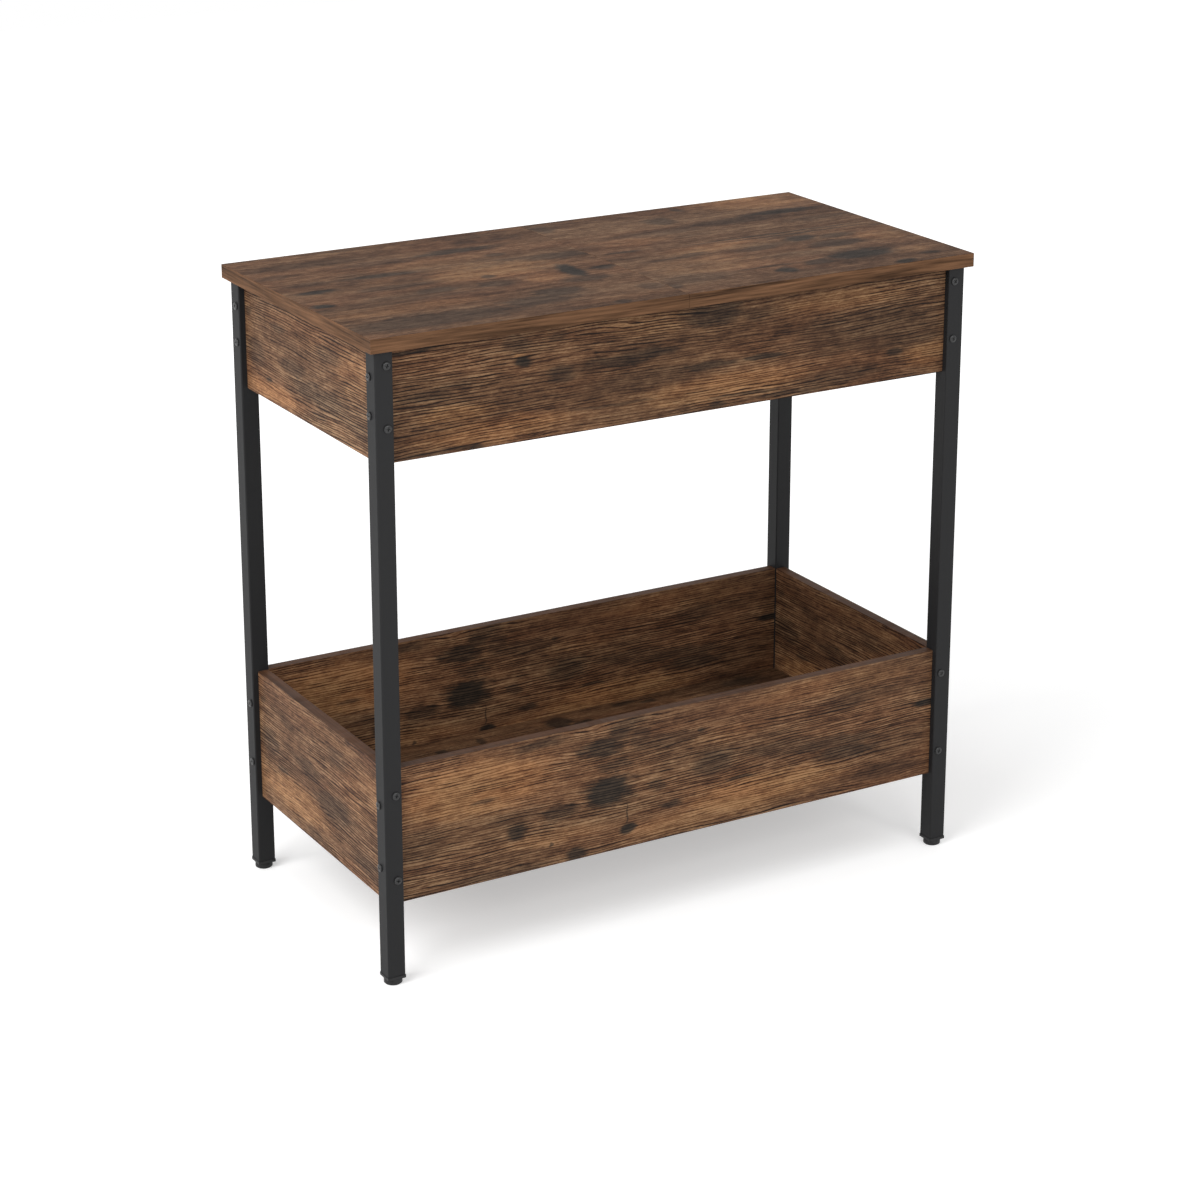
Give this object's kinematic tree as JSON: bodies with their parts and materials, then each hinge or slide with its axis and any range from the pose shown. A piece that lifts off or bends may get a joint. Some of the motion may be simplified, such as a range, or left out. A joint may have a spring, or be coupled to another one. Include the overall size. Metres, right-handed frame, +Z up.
{
  "type": "storage side table",
  "caption": "Side table on square steel legs: a shallow upper box under lift-off lids, an open storage box below, and screw-adjusted levelling feet.",
  "frame": {"origin": "on the floor, under the middle of the table, feet screwed fully in", "axes": "+X to the table's right seen from the front, +Y to the rear, +Z up"},
  "size_m": [0.727, 0.364, 0.7],
  "materials": {
    "rustic_board": "wood-print laminate with a fine embossed grain",
    "dark_board": "plain dark laminate",
    "hardwood": "unfinished beech",
    "black_powder_coat": "matte fine-textured powder coat",
    "black_screw": "black oxide",
    "zinc_steel": "bright zinc plate",
    "zinc_alloy": "die-cast, unplated",
    "black_plastic": "moulded, fine matte"
  },
  "bodies": {
    "frame": {"leg_front_left": "black_powder_coat", "top_plug_front_left": "black_plastic", "foot_insert_front_left": "black_plastic", "leg_front_right": "black_powder_coat", "top_plug_front_right": "black_plastic", "foot_insert_front_right": "black_plastic", "leg_rear_left": "black_powder_coat", "top_plug_rear_left": "black_plastic", "foot_insert_rear_left": "black_plastic", "leg_rear_right": "black_powder_coat", "top_plug_rear_right": "black_plastic", "foot_insert_rear_right": "black_plastic", "upper_front_panel": "rustic_board", "upper_rear_panel": "rustic_board", "upper_left_panel": "rustic_board", "upper_right_panel": "rustic_board", "upper_bottom_board": "rustic_board", "upper_leg_screws": "black_screw", "upper_cam_locks": "zinc_alloy", "upper_cam_bolts": "zinc_steel", "upper_dowels": "hardwood", "lower_front_panel": "rustic_board", "lower_rear_panel": "rustic_board", "lower_left_panel": "rustic_board", "lower_right_panel": "rustic_board", "lower_bottom_board": "rustic_board", "lower_leg_screws": "black_screw", "lower_cam_locks": "zinc_alloy", "lower_cam_bolts": "zinc_steel", "lower_dowels": "hardwood", "upper_divider": "rustic_board", "divider_dowels": "hardwood", "divider_screws": "black_screw"},
    "left_lid": {"lid_left": "rustic_board", "lid_left_outer_batten": "dark_board", "lid_left_inner_batten": "dark_board", "lid_left_batten_screws": "black_screw"},
    "right_lid": {"lid_right": "rustic_board", "lid_right_outer_batten": "dark_board", "lid_right_inner_batten": "dark_board", "lid_right_batten_screws": "black_screw"},
    "foot_front_left": {"foot_stud_front_left": "zinc_steel", "foot_pad_front_left": "black_plastic"},
    "foot_front_right": {"foot_stud_front_right": "zinc_steel", "foot_pad_front_right": "black_plastic"},
    "foot_rear_left": {"foot_stud_rear_left": "zinc_steel", "foot_pad_rear_left": "black_plastic"},
    "foot_rear_right": {"foot_stud_rear_right": "zinc_steel", "foot_pad_rear_right": "black_plastic"}
  },
  "joints": [
    {"name": "left_lid_lift", "type": "slide", "parent": "frame", "child": "left_lid", "axis": [0, 0, 1], "range_m": [0, 0.15]},
    {"name": "right_lid_lift", "type": "slide", "parent": "frame", "child": "right_lid", "axis": [0, 0, 1], "range_m": [0, 0.15]},
    {"name": "foot_front_left_extend", "type": "slide", "parent": "frame", "child": "foot_front_left", "axis": [0, 0, -1], "range_m": [0, 0.01]},
    {"name": "foot_front_right_extend", "type": "slide", "parent": "frame", "child": "foot_front_right", "axis": [0, 0, -1], "range_m": [0, 0.01]},
    {"name": "foot_rear_left_extend", "type": "slide", "parent": "frame", "child": "foot_rear_left", "axis": [0, 0, -1], "range_m": [0, 0.01]},
    {"name": "foot_rear_right_extend", "type": "slide", "parent": "frame", "child": "foot_rear_right", "axis": [0, 0, -1], "range_m": [0, 0.01]}
  ]
}
